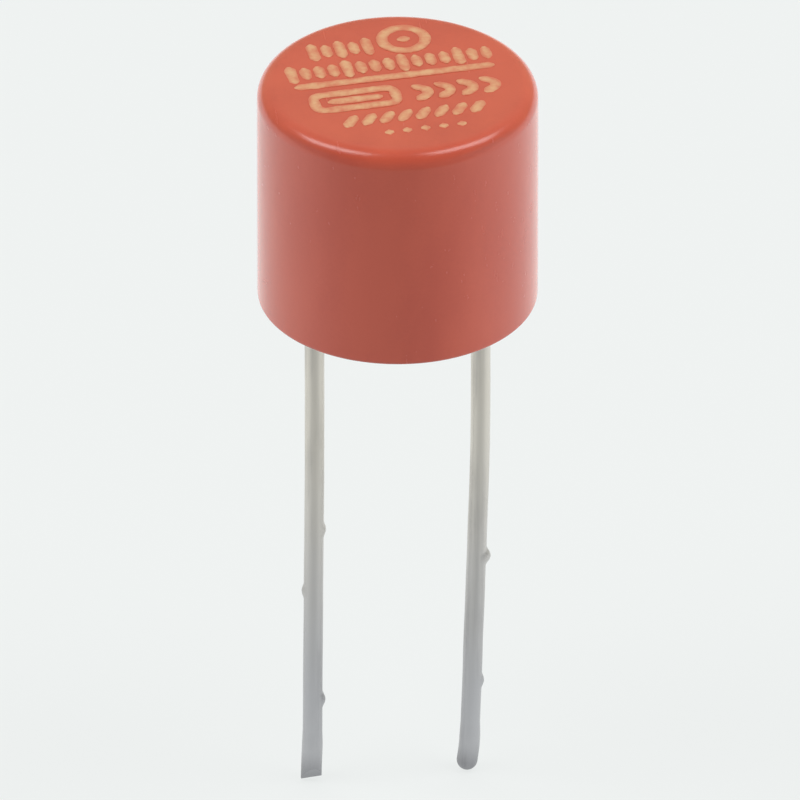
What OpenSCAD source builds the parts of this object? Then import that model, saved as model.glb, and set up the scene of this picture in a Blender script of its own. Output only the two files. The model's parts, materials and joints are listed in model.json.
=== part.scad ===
// Radial lead fuse: a moulded cap snapped over a moulded base, two wire leads, and a wound fusible element
// soldered between them. Millimetres, +Z up. The origin is midway between the leads, in the plane of the
// circuit board's surface, which is the underside of the base's feet. +X points to the right lead.

/* [Body] */
// Outer diameter of the cap
body_d = 8.5; // [8.4:0.05:8.8]
// Height of the cap's top above the board
body_h = 7.7; // [7.5:0.1:8.5]
// Gap between the cap's rim and the board
rim_gap = 0.3; // [0.2:0.05:0.35]
// Thickness of the cap's side wall
side_wall = 0.7; // [0.6:0.02:0.72]
// Thickness of the cap's top
top_wall = 0.8; // [0.6:0.05:1]
// Radius of the cap's rounded upper edge
top_edge_r = 0.4; // [0.2:0.05:0.6]
// Radius of the corner between the cap's inner wall and its ceiling
ceiling_r = 0.5; // [0.2:0.05:0.8]
// Diameter of the wider mouth that takes the base
mouth_d = 7.5; // [7.46:0.02:7.6]

/* [Base] */
// Gap between the base's underside and the board, which is the height of its feet
foot_h = 0.4; // [0.38:0.02:0.5]
// Diameter of each foot at the board
foot_d = 0.8; // [0.6:0.1:1]
// Distance of each foot from the middle of the base
foot_place_r = 2.9; // [2.7:0.1:3.1]
// Thickness of the base's floor
floor_t = 0.9; // [0.8:0.05:1.1]
// Height of the flange that fills the cap's mouth
flange_h = 1.5; // [1.4:0.05:1.6]
// Height of the skirt above the flange
skirt_h = 1; // [0.6:0.1:1.2]
// Thickness of the skirt
skirt_t = 0.5; // [0.4:0.05:0.6]
// Diameter of the tower round each lead
tower_d = 1.7; // [1.5:0.05:1.8]
// Height of the towers' tops above the board
tower_top = 2.6; // [2.4:0.1:2.8]
// How far the snap bead stands out of the flange
bead_out = 0.07; // [0.04:0.01:0.09]

/* [Leads] */
// Distance between the two leads
lead_pitch = 5.08; // [5.04:0.02:5.12]
// Diameter of the round lead wire
lead_d = 0.6; // [0.56:0.01:0.62]
// Diameter of the thicker tin on each tip
tip_d = 0.64; // [0.62:0.01:0.68]
// Length of the left lead below the board's surface
left_len = 16.9; // [12:0.1:19]
// Length of the right lead below the board's surface
right_len = 17; // [12:0.1:19]
// Lean of the left lead towards the outside, in degrees
left_lean = 0.45; // [0.2:0.05:1.5]
// Lean of the right lead towards the inside, in degrees
right_lean = 1.7; // [0.2:0.05:2]

/* [Element] */
// Height of the element's axis above the board
element_z = 4.3; // [4.1:0.1:4.6]
// Diameter of the glass fibre core
core_d = 0.28; // [0.24:0.01:0.28]
// Diameter of the fusible wire
wire_d = 0.05; // [0.04:0.005:0.05]
// Distance between neighbouring turns of the wire
wire_pitch = 0.23; // [0.2:0.01:0.4]

/* [Hidden] */
$fn = 96;

// Colours as the photo shows them, and plain ones for what is hidden
red = [0.77, 0.24, 0.19];
dark_red = [0.62, 0.19, 0.16];
tin = [0.74, 0.73, 0.71];
fibre = [0.93, 0.92, 0.87];
silver = [0.82, 0.8, 0.76];
solder_grey = [0.66, 0.67, 0.69];

// Tiny lengths: the slack of a loose fit, and how far a cutter runs past what it cuts
slack = 0.02;
past = 0.01;

body_r = body_d / 2;
bore_r = body_r - side_wall;
mouth_r = mouth_d / 2;
ceiling_z = body_h - top_wall;
flange_r = mouth_r - slack;
flange_top = foot_h + flange_h;
skirt_r = bore_r - slack;
skirt_top = flange_top + skirt_h;
floor_top = foot_h + floor_t;
lead_x = lead_pitch / 2;

// The snap: a bead with sloping sides round the flange, and its groove in the cap's mouth
bead_z = foot_h + 0.75;
bead_half = 0.2;
bead_flat = 0.05;
rim_break = 0.1;
mouth_lead_in = 0.12;

// Each lead is swaged square where it runs through its hole, and rolled flat above its tower
square_side = 0.53;
hole_d = square_side * sqrt(2) + 0.01;
square_bottom = foot_h - 0.05;
blade_t = 0.32;
blade_w = 0.94;
blade_top = element_z + 0.32;
blade_chamfer = 0.08;
countersink_d = 1.1;
countersink_h = 0.16;
tower_edge = 0.1;
gusset_t = 0.4;
gusset_len = 0.9;

// Below the board each lead runs straight, bends gently, and ends in a thicker tip
straight_h = 4.2;
bend_step = 1;
bend_swell = 0.006;
tip_len = 1.7;
tip_cone = 0.5;
left_kink = 1.5;
left_kink_len = 1.1;
right_kink = 5;
right_kink_len = 0.9;

// The left lead's end is pinched off to an edge
pinch_len = 0.45;
pinch_edge = 0.12;
pinch_turn = 8;

// The element lies in a notch in the top of each blade
wire_gap = 0.01;
coil_r = core_d / 2 + wire_gap + wire_d / 2;
coil_outer_r = coil_r + wire_d / 2;
notch_r = coil_outer_r + 0.01;
coil_half = lead_x + 0.28;
core_half = lead_x + 0.62;
solder_half = 0.5;
solder_r = 0.44;
solder_edge_r = 0.25;
solder_fillet_r = 0.34;

// The cap's half section, right of the axis
module cap_outline() {
    translate([0, rim_gap]) square([body_r, body_h - top_edge_r - rim_gap]);
    translate([0, rim_gap]) square([body_r - top_edge_r, body_h - rim_gap]);
    translate([body_r - top_edge_r, body_h - top_edge_r]) circle(top_edge_r);
}

// The hollow of the cap: a bore with a rounded ceiling, and a wider mouth that leaves a shoulder
module cap_hollow_outline() {
    square([bore_r, ceiling_z - ceiling_r]);
    square([bore_r - ceiling_r, ceiling_z]);
    translate([bore_r - ceiling_r, ceiling_z - ceiling_r]) circle(ceiling_r);
    square([mouth_r, flange_top]);
    polygon([
        [0, 0], [mouth_r + mouth_lead_in + rim_gap, 0],
        [mouth_r, rim_gap + mouth_lead_in], [0, rim_gap + mouth_lead_in]
    ]);
    snap_outline(mouth_r, bead_out + slack);
}

// A bead or groove of one height, standing out of radius r
module snap_outline(r, out) {
    polygon([
        [r - past, bead_z - bead_half], [r, bead_z - bead_half], [r + out, bead_z - bead_flat],
        [r + out, bead_z + bead_flat], [r, bead_z + bead_half], [r - past, bead_z + bead_half]
    ]);
}

module cap() {
    color(red) rotate_extrude() difference() {
        cap_outline();
        cap_hollow_outline();
        // the rim's outer edge is broken
        polygon([
            [body_r - rim_break, rim_gap - past], [body_r + past, rim_gap - past],
            [body_r + past, rim_gap + rim_break + past]
        ]);
    }
}

// The base without its leads' towers: a floor, the flange with its bead, and the skirt
module base_shell() {
    rotate_extrude() {
        translate([0, foot_h]) square([flange_r, floor_t]);
        translate([skirt_r - skirt_t, foot_h]) square([flange_r - skirt_r + skirt_t, flange_h]);
        translate([skirt_r - skirt_t, foot_h]) square([skirt_t, skirt_top - foot_h]);
        snap_outline(flange_r, bead_out);
    }
}

// A tower with a broken upper edge, kept inside the skirt
module tower() {
    intersection() {
        rotate_extrude() polygon([
            [0, floor_top - past], [tower_d / 2, floor_top - past], [tower_d / 2, tower_top - tower_edge],
            [tower_d / 2 - tower_edge, tower_top], [0, tower_top]
        ]);
        translate([-lead_x, 0, 0]) cylinder(r = skirt_r - past, h = body_h);
    }
}

// A gusset that slopes from a tower's side to the floor, towards +X
module gusset() {
    rotate([90, 0, 0]) translate([0, 0, -gusset_t / 2]) linear_extrude(gusset_t) polygon([
        [0, floor_top - past], [tower_d / 2 + gusset_len, floor_top - past], [tower_d / 2, tower_top - 0.4],
        [0, tower_top - 0.4]
    ]);
}

// A lead's hole, round to take the swaged square, with a countersink underneath
module lead_hole() {
    cylinder(d = hole_d, h = body_h);
    translate([0, 0, foot_h - past])
        cylinder(d1 = countersink_d + 2 * past, d2 = hole_d, h = countersink_h + past);
}

module base() {
    color(dark_red) difference() {
        union() {
            base_shell();
            for (side = [-1, 1]) {
                translate([side * lead_x, 0, 0]) mirror([side < 0 ? 1 : 0, 0, 0]) {
                    tower();
                    for (turn = [90, 180, 270]) rotate([0, 0, turn]) gusset();
                }
            }
            for (turn = [45 : 90 : 315]) rotate([0, 0, turn]) translate([foot_place_r, 0, 0])
                cylinder(d1 = foot_d, d2 = foot_d + 0.12, h = foot_h + past);
        }
        for (side = [-1, 1]) translate([side * lead_x, 0, 0]) lead_hole();
        // the sunken mark of the moulding gate
        translate([0, 0, foot_h - past]) cylinder(d1 = 1.3, d2 = 1.1, h = 0.15 + past);
    }
}

// The part of a lead inside the body: a square stretch in the hole, and a blade that stands on the tower
module lead_top() {
    translate([-square_side / 2, -square_side / 2, square_bottom])
        cube([square_side, square_side, tower_top - square_bottom + past]);
    difference() {
        rotate([90, 0, 90]) translate([0, 0, -blade_t / 2]) linear_extrude(blade_t) polygon([
            [-blade_w / 2, tower_top], [blade_w / 2, tower_top], [blade_w / 2, blade_top - blade_chamfer],
            [blade_w / 2 - blade_chamfer, blade_top], [-blade_w / 2 + blade_chamfer, blade_top],
            [-blade_w / 2, blade_top - blade_chamfer]
        ]);
        translate([-blade_t, 0, element_z]) rotate([0, 90, 0]) cylinder(r = notch_r, h = 2 * blade_t);
        translate([-blade_t, -notch_r, element_z]) cube([2 * blade_t, 2 * notch_r, body_h]);
    }
}

// The stretches of a lead from inside its hole to its tip, as [length, lower diameter, turn after it in
// degrees]: straight, a gentle bend in three steps, straight again, and a thicker tip with a kink, which
// stops end_len short of the lead's whole length
function lead_stretches(len, lean, kink, kink_len, end_len) = [
    [square_bottom + straight_h, lead_d, lean / 3],
    [bend_step, lead_d, lean / 3],
    [bend_step, lead_d, lean / 3],
    [len - straight_h - 2 * bend_step - tip_len, lead_d, 0],
    [tip_cone, tip_d, 0],
    [tip_len - tip_cone - kink_len, tip_d, kink],
    [kink_len - end_len, tip_d, 0]
];

// Round wire that runs down from the origin, each turn towards +X, with its child on its lower end
module wire(stretches, i = 0) {
    length = stretches[i][0];
    upper_d = i == 0 ? lead_d : stretches[i - 1][1];
    lower_d = stretches[i][1];
    turn = stretches[i][2];
    translate([0, 0, -length]) {
        cylinder(d1 = lower_d, d2 = upper_d, h = length);
        if (turn > 0) sphere(d = lower_d + bend_swell);
        if (i < len(stretches) - 1) rotate([0, -turn, 0]) wire(stretches, i + 1) children();
        else children();
    }
}

// The end that cutters leave: a slope in front and one behind, down to a blunt edge
module pinched_end() {
    wide = tip_d / 2 + past;
    intersection() {
        translate([0, 0, -2 * pinch_len]) cylinder(d = tip_d, h = 2 * pinch_len);
        rotate([0, pinch_turn, 0]) rotate([90, 0, 90]) translate([0, 0, -tip_d]) linear_extrude(2 * tip_d)
            polygon([
                [-wide, tip_d], [-wide, 0], [-pinch_edge / 2, -pinch_len],
                [pinch_edge / 2, -pinch_len], [wide, 0], [wide, tip_d]
            ]);
    }
}

// Leans left, its end pinched off nearly level
module lead_left() {
    color(tin) translate([-lead_x, 0, 0]) {
        lead_top();
        translate([0, 0, square_bottom]) mirror([1, 0, 0])
            wire(lead_stretches(left_len, left_lean, left_kink, left_kink_len, pinch_len)) pinched_end();
    }
}

// Leans inwards, its tip kinked further and rounded by its tin
module lead_right() {
    color(tin) translate([lead_x, 0, 0]) {
        lead_top();
        translate([0, 0, square_bottom]) mirror([1, 0, 0])
            wire(lead_stretches(right_len, right_lean, right_kink, right_kink_len, tip_d / 2))
                sphere(d = tip_d);
    }
}

module element_core() {
    color(fibre) translate([-core_half, 0, element_z]) rotate([0, 90, 0])
        cylinder(d = core_d, h = 2 * core_half);
}

// The fusible wire: a helix round the core, swept as a tube of few sides
wire_sides = 6;
steps_per_turn = 10;
coil_steps = floor(2 * coil_half / wire_pitch * steps_per_turn);

function coil_point(step, side) =
    let (
        turn = step * 360 / steps_per_turn,
        around = side * 360 / wire_sides,
        r = coil_r + wire_d / 2 * cos(around)
    )
    [
        -coil_half + 2 * coil_half * step / coil_steps + wire_d / 2 * sin(around),
        r * sin(turn),
        element_z + r * cos(turn)
    ];

module element_wire() {
    points = [for (step = [0 : coil_steps]) for (side = [0 : wire_sides - 1]) coil_point(step, side)];
    last = coil_steps * wire_sides;
    walls = [
        for (step = [0 : coil_steps - 1]) for (side = [0 : wire_sides - 1])
            let (a = step * wire_sides + side, b = step * wire_sides + (side + 1) % wire_sides)
            each [[a, b, b + wire_sides], [a, b + wire_sides, a + wire_sides]]
    ];
    ends = [
        [for (side = [wire_sides - 1 : -1 : 0]) side],
        [for (side = [0 : wire_sides - 1]) last + side]
    ];
    color(silver) polyhedron(points, concat(walls, ends), convexity = 20);
}

// Solder that wets a blade and the element's end: a hollow-sided fillet on each face of the blade
module solder_joint() {
    difference() {
        rotate([0, 90, 0]) rotate_extrude() difference() {
            translate([0, -solder_half]) square([solder_r, 2 * solder_half]);
            for (side = [-1, 1]) translate([solder_edge_r + solder_fillet_r, side * solder_half])
                circle(solder_fillet_r);
        }
        rotate([0, 90, 0]) translate([0, 0, -1]) cylinder(d = core_d, h = 2);
    }
}

module solder(side) {
    color(solder_grey) difference() {
        translate([side * lead_x, 0, element_z]) solder_joint();
        // the wound stretch of the element ends inside the solder
        translate([side > 0 ? 0 : -coil_half - wire_d, 0, element_z]) rotate([0, 90, 0])
            cylinder(r = notch_r, h = coil_half + wire_d);
        translate([side * lead_x, 0, 0]) lead_top();
    }
}

module solder_left() { solder(-1); }

module solder_right() { solder(1); }

cap();
base();
lead_left();
lead_right();
element_core();
element_wire();
solder_left();
solder_right();
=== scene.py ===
"""Dresses the packed model of a radial lead fuse: its moulded cap and base, its leads, its wound element,
the print on its top, and the studio that it is pictured in. Lengths are metres, +Z is up, and the origin
is midway between the leads in the plane of the board that the fuse stands on."""

import json
import math

import bmesh
import bpy
from bpy.props import BoolProperty, FloatProperty, FloatVectorProperty, IntProperty, PointerProperty
from mathutils import Matrix, Quaternion, Vector


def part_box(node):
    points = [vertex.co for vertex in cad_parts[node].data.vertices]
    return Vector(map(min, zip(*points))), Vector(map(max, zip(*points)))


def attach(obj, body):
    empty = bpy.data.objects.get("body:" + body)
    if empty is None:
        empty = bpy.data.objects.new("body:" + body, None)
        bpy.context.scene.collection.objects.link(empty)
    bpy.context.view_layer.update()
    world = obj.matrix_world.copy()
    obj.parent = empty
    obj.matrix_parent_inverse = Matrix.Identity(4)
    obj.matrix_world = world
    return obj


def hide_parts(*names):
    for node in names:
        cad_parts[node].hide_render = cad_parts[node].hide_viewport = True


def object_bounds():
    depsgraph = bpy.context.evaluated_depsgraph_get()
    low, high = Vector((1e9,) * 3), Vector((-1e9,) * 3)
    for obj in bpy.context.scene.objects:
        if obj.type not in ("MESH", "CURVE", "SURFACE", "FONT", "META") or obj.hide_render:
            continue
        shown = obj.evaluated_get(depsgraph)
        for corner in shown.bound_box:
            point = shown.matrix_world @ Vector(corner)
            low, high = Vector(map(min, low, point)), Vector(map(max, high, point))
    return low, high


bl_info = {
    "name": "Radial Lead Fuse",
    "version": (1, 0, 0),
    "blender": (4, 5, 0),
    "location": "3D View > Sidebar > Radial Fuse",
    "description": "Dresses the packed model of a radial lead fuse and sets up its studio",
    "category": "Object",
}

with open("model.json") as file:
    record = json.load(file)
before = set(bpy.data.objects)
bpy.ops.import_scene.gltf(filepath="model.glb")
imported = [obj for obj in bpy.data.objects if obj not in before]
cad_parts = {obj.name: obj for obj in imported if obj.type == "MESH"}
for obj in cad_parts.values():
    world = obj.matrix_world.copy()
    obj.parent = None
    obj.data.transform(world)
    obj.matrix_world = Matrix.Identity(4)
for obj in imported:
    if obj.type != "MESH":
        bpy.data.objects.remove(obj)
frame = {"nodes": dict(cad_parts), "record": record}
CAD_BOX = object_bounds()
CAP_LOW, CAP_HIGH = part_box("cap")
BASE_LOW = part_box("base")[0]
BODY = "root"
MM = 0.001

# The leads stand where the record's own mount says
LEADS_MOUNT = next(m for m in frame["record"]["mounts"] if m["name"] == "leads")
LEAD_X = LEADS_MOUNT["dims"]["spacing_x_mm"] / 2 * MM
LEAD_RADIUS = LEADS_MOUNT["dims"]["stud_r_mm"] * MM

# Points closer than this are one point, and edges sharper than this stay sharp
WELD = 0.002 * MM
SHARP = math.radians(27)

# Steps round the base, round its holes and towers, and round its feet
BASE_STEPS, HOLE_STEPS, FOOT_STEPS = 192, 64, 48

# How far straight runs stop short of the rounds beside them, and how far a cutter runs past what it cuts
NEAR, OVER = 0.05 * MM, 0.1 * MM

# Height over which the wire goes over to a square, and from there to a blade
SWAGE = 0.12 * MM

# Heights at which the leads begin to wander and do so fully, and at which their tin begins to ripple
WANDERING = -2 * MM, -7 * MM
RIPPLING = -0.5 * MM, -2 * MM

# Length above the lowest point over which the ripple sets in
RIPPLE_TIP = 0.4 * MM

# Gap round the element in its notch, and how far the notch is cut above the element
NOTCH_GAP, NOTCH_HIGH = 0.01 * MM, 1 * MM

# How far outside the tin the slopes of a pinched end begin
PINCH_OUT = 0.01 * MM

# Where tin froze in nubs on each lead, in millimetres
NUB_PLACES = {
    "left": ((-2.17, -0.04, -14.12), (-2.08, -0.04, -8.0), (-3.07, 0.04, -10.2)),
    "right": ((2.74, -0.04, -9.32), (2.77, -0.04, -13.82)),
}

# Distance between the sections of a printed stroke
STROKE_STEP = 0.06 * MM


# Properties

def length(name, description, millimetres):
    """A size that is given in millimetres and kept in metres."""
    return FloatProperty(
        name=name, description=description, default=millimetres * MM, unit="LENGTH", precision=6
    )


def angle(name, description, degrees):
    """A turn that is given in degrees and kept in radians."""
    return FloatProperty(
        name=name, description=description, default=math.radians(degrees), subtype="ANGLE", unit="ROTATION"
    )


def share(name, description, value):
    """A number without a unit."""
    return FloatProperty(name=name, description=description, default=value, precision=3)


def power(name, description, watts):
    """A lamp's power."""
    return FloatProperty(name=name, description=description, default=watts, unit="POWER", precision=3)


def colour(name, description, red, green, blue):
    """A linear colour."""
    return FloatVectorProperty(
        name=name, description=description, default=(red, green, blue), subtype="COLOR", min=0, max=1
    )


def bundle(kind, name):
    """A group of settings, described as its class is."""
    return PointerProperty(type=kind, name=name, description=kind.__doc__)


class CapSettings(bpy.types.PropertyGroup):
    """The moulded cap."""

    side_wall: length("Side wall", "Thickness of the side", 0.7)
    top_wall: length("Top wall", "Thickness of the top", 0.8)
    top_edge: length("Upper edge", "Radius of the rounded upper edge", 0.52)
    ceiling_edge: length("Ceiling edge", "Radius between the inner wall and the ceiling", 0.5)
    sink: length("Sink", "How far the middle of the top is drawn in", 0.02)
    mouth: length("Mouth", "Radius of the mouth that takes the base", 3.75)
    rim_round: length("Rim round", "Radius of the rim's outer edge", 0.1)
    lead_in: length("Lead-in", "Width of the slope at the mouth", 0.12)
    segments: IntProperty(name="Segments", description="Steps round the cap", default=256, min=32)
    plastic: colour("Plastic", "Colour of the moulding", 0.62, 0.102, 0.055)
    plastic_deep: colour("Deep plastic", "Colour of its darker flow marks", 0.56, 0.086, 0.048)
    roughness: share("Roughness", "Roughness of the gloss", 0.21)
    peel: length("Peel", "Depth of the orange peel", 0.0022)


class BaseSettings(bpy.types.PropertyGroup):
    """The moulded base that snaps into the cap."""

    floor: length("Floor", "Thickness of the floor", 0.9)
    flange: length("Flange", "Height of the flange", 1.5)
    skirt: length("Skirt", "Height of the skirt above the flange", 1)
    skirt_wall: length("Skirt wall", "Thickness of the skirt", 0.5)
    slack: length("Slack", "Gap between the base and the cap", 0.02)
    bead_height: length("Bead height", "Height of the snap bead above the underside", 0.75)
    bead_out: length("Bead", "How far the snap bead stands out", 0.07)
    bead_half: length("Bead half width", "Half the width of the snap bead at its foot", 0.2)
    bead_flat: length("Bead flat", "Half the width of the snap bead's flat", 0.05)
    foot: length("Foot", "Height of the feet", 0.4)
    foot_radius: length("Foot radius", "Radius of a foot where it meets the board", 0.4)
    foot_place: length("Foot place", "Distance of the feet from the middle", 2.9)
    foot_turn: angle("Foot turn", "Turn of the first foot from the leads' plane", 45)
    foot_draft: length("Foot draft", "How much wider a foot is at its root", 0.06)
    edge_round: length("Edge round", "Radius of small moulded edges", 0.06)
    tower_radius: length("Tower radius", "Radius of the tower round a lead", 0.85)
    tower_top: length("Tower top", "Height of the towers' tops above the board", 2.6)
    tower_edge: length("Tower edge", "Width of the slope on a tower's upper edge", 0.1)
    gusset: length("Gusset", "How far a gusset reaches out of its tower", 0.9)
    gusset_wall: length("Gusset wall", "Thickness of a gusset", 0.4)
    gusset_drop: length("Gusset drop", "How far a gusset ends below its tower's top", 0.4)
    hole: length("Hole", "Radius of a lead's hole", 0.3798)
    sink_radius: length("Countersink", "Radius of the countersink at the underside", 0.55)
    sink_depth: length("Countersink depth", "Depth of the countersink", 0.16)
    gate_radius: length("Gate mark", "Radius of the sunken mark of the gate", 0.65)
    gate_depth: length("Gate mark depth", "Depth of the sunken mark of the gate", 0.15)
    plastic: colour("Plastic", "Colour of the moulding", 0.5, 0.074, 0.042)
    plastic_deep: colour("Deep plastic", "Colour of its darker flow marks", 0.42, 0.06, 0.036)
    roughness: share("Roughness", "Roughness of the satin", 0.42)
    peel: length("Peel", "Depth of the orange peel", 0.003)


class LeadSettings(bpy.types.PropertyGroup):
    """What one lead has of its own."""

    below: length("Length", "Length below the board's surface", 17)
    lean: angle("Lean", "Lean after the gentle bend", 1)
    kink: angle("Kink", "Further turn near the tip", 1)
    kink_length: length("Kink length", "Length of the stretch past the kink", 1)
    domed: BoolProperty(name="Domed", description="Round the tip with tin, in place of a pinched end")


class LeadsSettings(bpy.types.PropertyGroup):
    """What both leads share."""

    left: bundle(LeadSettings, "Left lead")
    right: bundle(LeadSettings, "Right lead")
    tip_radius: length("Tip radius", "Radius of the thicker tin at the tip", 0.32)
    tip_length: length("Tip length", "Length of the thicker tip", 1.7)
    tip_cone: length("Tip cone", "Length over which the tin gets thicker", 0.5)
    pinch_length: length("Pinch length", "Length of the slopes on a pinched end", 0.45)
    pinch_edge: length("Pinch edge", "Width of the blunt edge of a pinched end", 0.12)
    pinch_turn: angle("Pinch turn", "Slant of the blunt edge of a pinched end", 8)
    straight: length("Straight", "Straight length below the board", 4.2)
    bend_step: length("Bend step", "Distance between the steps of the bend", 1)
    square: length("Square half side", "Half the side of the swaged square", 0.265)
    blade_half: length("Blade half thickness", "Half the thickness of the blade", 0.16)
    blade_width: length("Blade half width", "Half the width of the blade", 0.47)
    blade_chamfer: length("Blade chamfer", "Slope at the blade's upper corners", 0.08)
    blade_above: length("Blade top", "How far the blade ends above the element", 0.32)
    bend_radius: length("Bend radius", "Radius of the gentle bends", 12)
    square_from: length("Square from", "Height above the board at which the wire is square", 0.35)
    wander: length("Wander", "Width of the band that the wire may wander in", 0.05)
    ripple: length("Ripple", "Height of the slow ripple in the tin", 0.012)
    nub_radius: length("Nub radius", "Distance from a nub at which the tin begins to rise", 0.36)
    nub_height: length("Nub height", "Height of a nub of frozen tin", 0.14)
    ring_step: length("Ring step", "Distance between the rings of the wire's mesh", 0.045)
    sides: IntProperty(name="Sides", description="Steps round the wire", default=48, min=12)
    # The first two tins are painted reflection: the lead is coloured brighter and warmer under the body and
    # darker and cooler towards the tips
    tin_painted_bright: colour("Warm tin", "Colour of the tin under the body", 0.5, 0.475, 0.43)
    tin_painted_dim: colour("Cool tin", "Colour of the tin towards the tips", 0.33, 0.33, 0.342)
    tin_dull: colour("Dull tin", "Colour of the dull marks on the tips", 0.2, 0.2, 0.212)
    roughness: share("Roughness", "Roughness of the tin", 0.42)


class ElementSettings(bpy.types.PropertyGroup):
    """The wound fusible element between the leads."""

    height: length("Height", "Height of the element above the board", 4.3)
    core_radius: length("Core", "Radius of the glass fibre core", 0.14)
    wire_radius: length("Wire", "Radius of the fusible wire", 0.025)
    wire_gap: length("Gap", "Gap between the wire and the core", 0.01)
    half_length: length("Half length", "Half the length of the winding", 2.82)
    wire_pitch: length("Pitch", "Distance between neighbouring turns", 0.23)
    turn_steps: IntProperty(name="Turn steps", description="Steps in one turn", default=40, min=8)
    wire_sides: IntProperty(name="Wire sides", description="Steps round the wire", default=10, min=3)
    fibre: colour("Fibre", "Colour of the core", 0.82, 0.8, 0.7)
    silver: colour("Silver", "Colour of the wire", 0.72, 0.7, 0.64)
    tarnish: colour("Tarnish", "Colour of the wire's tarnish", 0.45, 0.36, 0.24)
    solder: colour("Solder", "Colour of the solder", 0.55, 0.56, 0.58)


class PrintSettings(bpy.types.PropertyGroup):
    """The print on the cap's top."""

    stroke: length("Stroke", "Width of a printed stroke", 0.34)
    film: length("Film", "Thickness of the ink, with what lies sunk in the top", 0.06)
    below: length("Below", "How far the ink stays below the height of the top's edge", 0.002)
    turn: angle("Turn", "Turn of the rows against the leads' plane", 6)
    bleed: share("Bleed", "Share by which a stroke's width wanders", 0.5)
    short: share("Short ticks", "Height of a short tick against a tall one", 0.7)
    ink: colour("Ink", "Colour where the ink is full", 0.73, 0.42, 0.21)
    ink_thin: colour("Thin ink", "Colour where the plastic shows through", 0.63, 0.16, 0.08)


class StageSettings(bpy.types.PropertyGroup):
    """The camera, the floor and the lights."""

    azimuth: angle("Azimuth", "Turn of the camera round the fuse", -7)
    elevation: angle("Elevation", "Height of the camera over the horizon", 31.9)
    distance: length("Distance", "Distance of the camera", 1000)
    picture: length("Picture", "Width that the picture spans at the fuse", 24.25)
    aim_right: length("Aim right", "How far the picture's middle lies right of the origin", 0.073)
    aim_up: length("Aim up", "How far the picture's middle lies above the origin", -3.03)
    background: colour("Background", "Colour of the floor and the backdrop", 0.863, 0.888, 0.88)
    floor_half: length("Floor", "Half the side of the floor", 3000)
    floor_bounce: share("Floor bounce", "Share of the light that the floor gives back", 0.25)
    floor_beside: share("Floor beside", "How much brighter gloss sees the floor beside and behind", 1.62)
    floor_ahead: share("Floor ahead", "How much of the floor's brightness gloss sees far in front", 0.35)
    floor_near: length("Near floor", "How far in front of the fuse the floor begins to dim for gloss", 35)
    floor_far: length("Far floor", "How far in front of the fuse it is dimmed in full", 75)
    shadow: share("Shadow", "How strongly the floor shows a shadow", 0.14)
    walls: share("Walls", "Strength of the light from low all round in front", 1.07)
    left_wall: share("Left wall", "How much stronger it is on the left", 3)
    right_wall: share("Right wall", "How much stronger it is on the right", 5.07)
    behind: share("Behind", "Strength of the light from high behind the fuse", 1.8)
    ceiling: share("Ceiling", "Strength of the light from everywhere else above", 0.08)
    sky_behind: colour("Sky behind", "What gloss sees of the room behind the fuse", 0.58, 0.55, 0.38)
    sky_ahead: colour("Sky ahead", "What gloss sees of the room before the fuse", 0.13, 0.136, 0.134)
    lamp_distance: length("Lamp distance", "Distance of the two strip lamps over the fuse", 400)
    lamp_length: length("Lamp length", "Length of the strip lamps", 260)
    lamp_width: length("Lamp width", "Width of the strip lamps", 140)
    left_turn: angle("Left turn", "Turn of the left strip lamp away from the camera", 81)
    right_turn: angle("Right turn", "Turn of the right strip lamp away from the camera", 86)
    lamp_height: angle("Lamp height", "Height of the strip lamps over the horizon", 59)
    lamp_twist: angle("Lamp twist", "How far the strip lamps run outwards as they run back", 50)
    left_lamp: power("Left lamp", "Power of the left strip lamp", 0.59)
    right_lamp: power("Right lamp", "Power of the right strip lamp", 0.56)


class FuseSettings(bpy.types.PropertyGroup):
    """Everything that a user would change."""

    cap: bundle(CapSettings, "Cap")
    base: bundle(BaseSettings, "Base")
    leads: bundle(LeadsSettings, "Leads")
    element: bundle(ElementSettings, "Element")
    print: bundle(PrintSettings, "Print")
    stage: bundle(StageSettings, "Stage")


# Node trees written as expressions

def find_socket(sockets, key):
    """The socket in use that has this name, or the one at this place."""
    if isinstance(key, int):
        return sockets[key]
    return next(socket for socket in sockets if socket.enabled and socket.name == key)


def operator_pair(operation):
    """The methods for a link in front of a value, and for one behind it."""
    return (
        lambda link, value: link.tree.math(operation, link, value),
        lambda link, value: link.tree.math(operation, value, link),
    )


class Link:
    """An output socket that takes part in Python expressions on numbers."""

    __add__, __radd__ = operator_pair("ADD")
    __sub__, __rsub__ = operator_pair("SUBTRACT")
    __mul__, __rmul__ = operator_pair("MULTIPLY")
    __truediv__, __rtruediv__ = operator_pair("DIVIDE")
    __pow__, __rpow__ = operator_pair("POWER")

    def __init__(self, tree, socket):
        self.tree = tree
        self.socket = socket

    def output(self, key):
        """Another output of the same node."""
        return Link(self.tree, find_socket(self.socket.node.outputs, key))

    def __neg__(self):
        return self * -1

    def __abs__(self):
        return self.tree.math("ABSOLUTE", self)


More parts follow.
